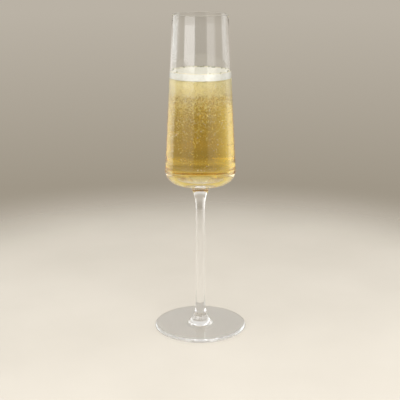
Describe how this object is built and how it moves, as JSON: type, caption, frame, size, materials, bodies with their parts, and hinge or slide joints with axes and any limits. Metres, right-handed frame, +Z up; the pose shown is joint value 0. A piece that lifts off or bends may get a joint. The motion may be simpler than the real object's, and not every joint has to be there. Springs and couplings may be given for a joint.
{
  "type": "fizz cocktail",
  "caption": "Tall stemmed crystal flute with a tapering bowl, holding a golden sparkling cocktail full of fine bubbles under a white head of foam.",
  "frame": {"origin": "centre of the foot on the table, on the axis of the glass", "axes": "+Z up along the axis of the glass; +X to the viewer's right and +Y away from the viewer, though the object is the same all round"},
  "size_m": [0.0704, 0.0704, 0.24],
  "materials": {
    "crystal": "clear polished crystal",
    "drink": "clear golden liquid with fine bubbles",
    "foam": "fine off-white foam"
  },
  "bodies": {
    "root": {"flute_glass": "crystal", "drink": "drink", "foam_head": "foam"}
  },
  "joints": []
}
